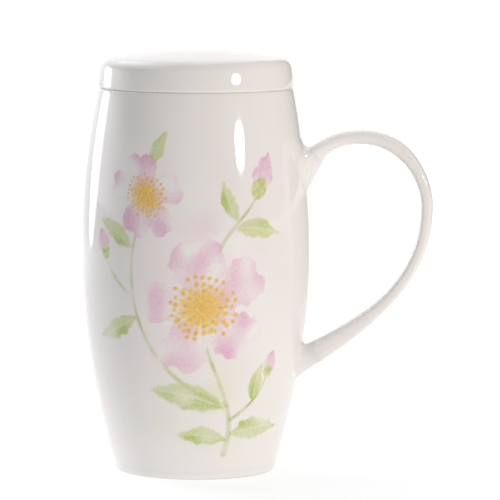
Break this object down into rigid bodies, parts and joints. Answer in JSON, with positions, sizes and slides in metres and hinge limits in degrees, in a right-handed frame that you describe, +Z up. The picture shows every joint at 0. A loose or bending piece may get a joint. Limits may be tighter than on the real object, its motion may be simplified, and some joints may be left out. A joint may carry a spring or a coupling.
{
  "type": "lidded mug",
  "caption": "Tall barrel-shaped china tea mug with a strap handle and a low domed lid that lifts off, its flange locating inside the mouth.",
  "frame": {"origin": "centre of the foot ring's resting face, on the table", "axes": "+Z up the barrel's axis towards the lid, +X towards the handle, -Y towards the printed front"},
  "size_m": [0.1196, 0.0776, 0.1438],
  "materials": {
    "printed_china": "warm white bone china under clear gloss glaze, with a soft floral print",
    "china": "warm white bone china under clear gloss glaze",
    "bare_china": "unglazed, ground smooth"
  },
  "bodies": {
    "mug": {"mug_body": "printed_china", "foot_ring": "bare_china", "handle": "china", "upper_handle_joint": "china", "lower_handle_joint": "china"},
    "lid": {"lid_cap": "china", "lid_flange": "china"}
  },
  "joints": [
    {"name": "lid_lift", "type": "slide", "parent": "mug", "child": "lid", "axis": [0, 0, 1], "range_m": [0, 0.1]}
  ]
}
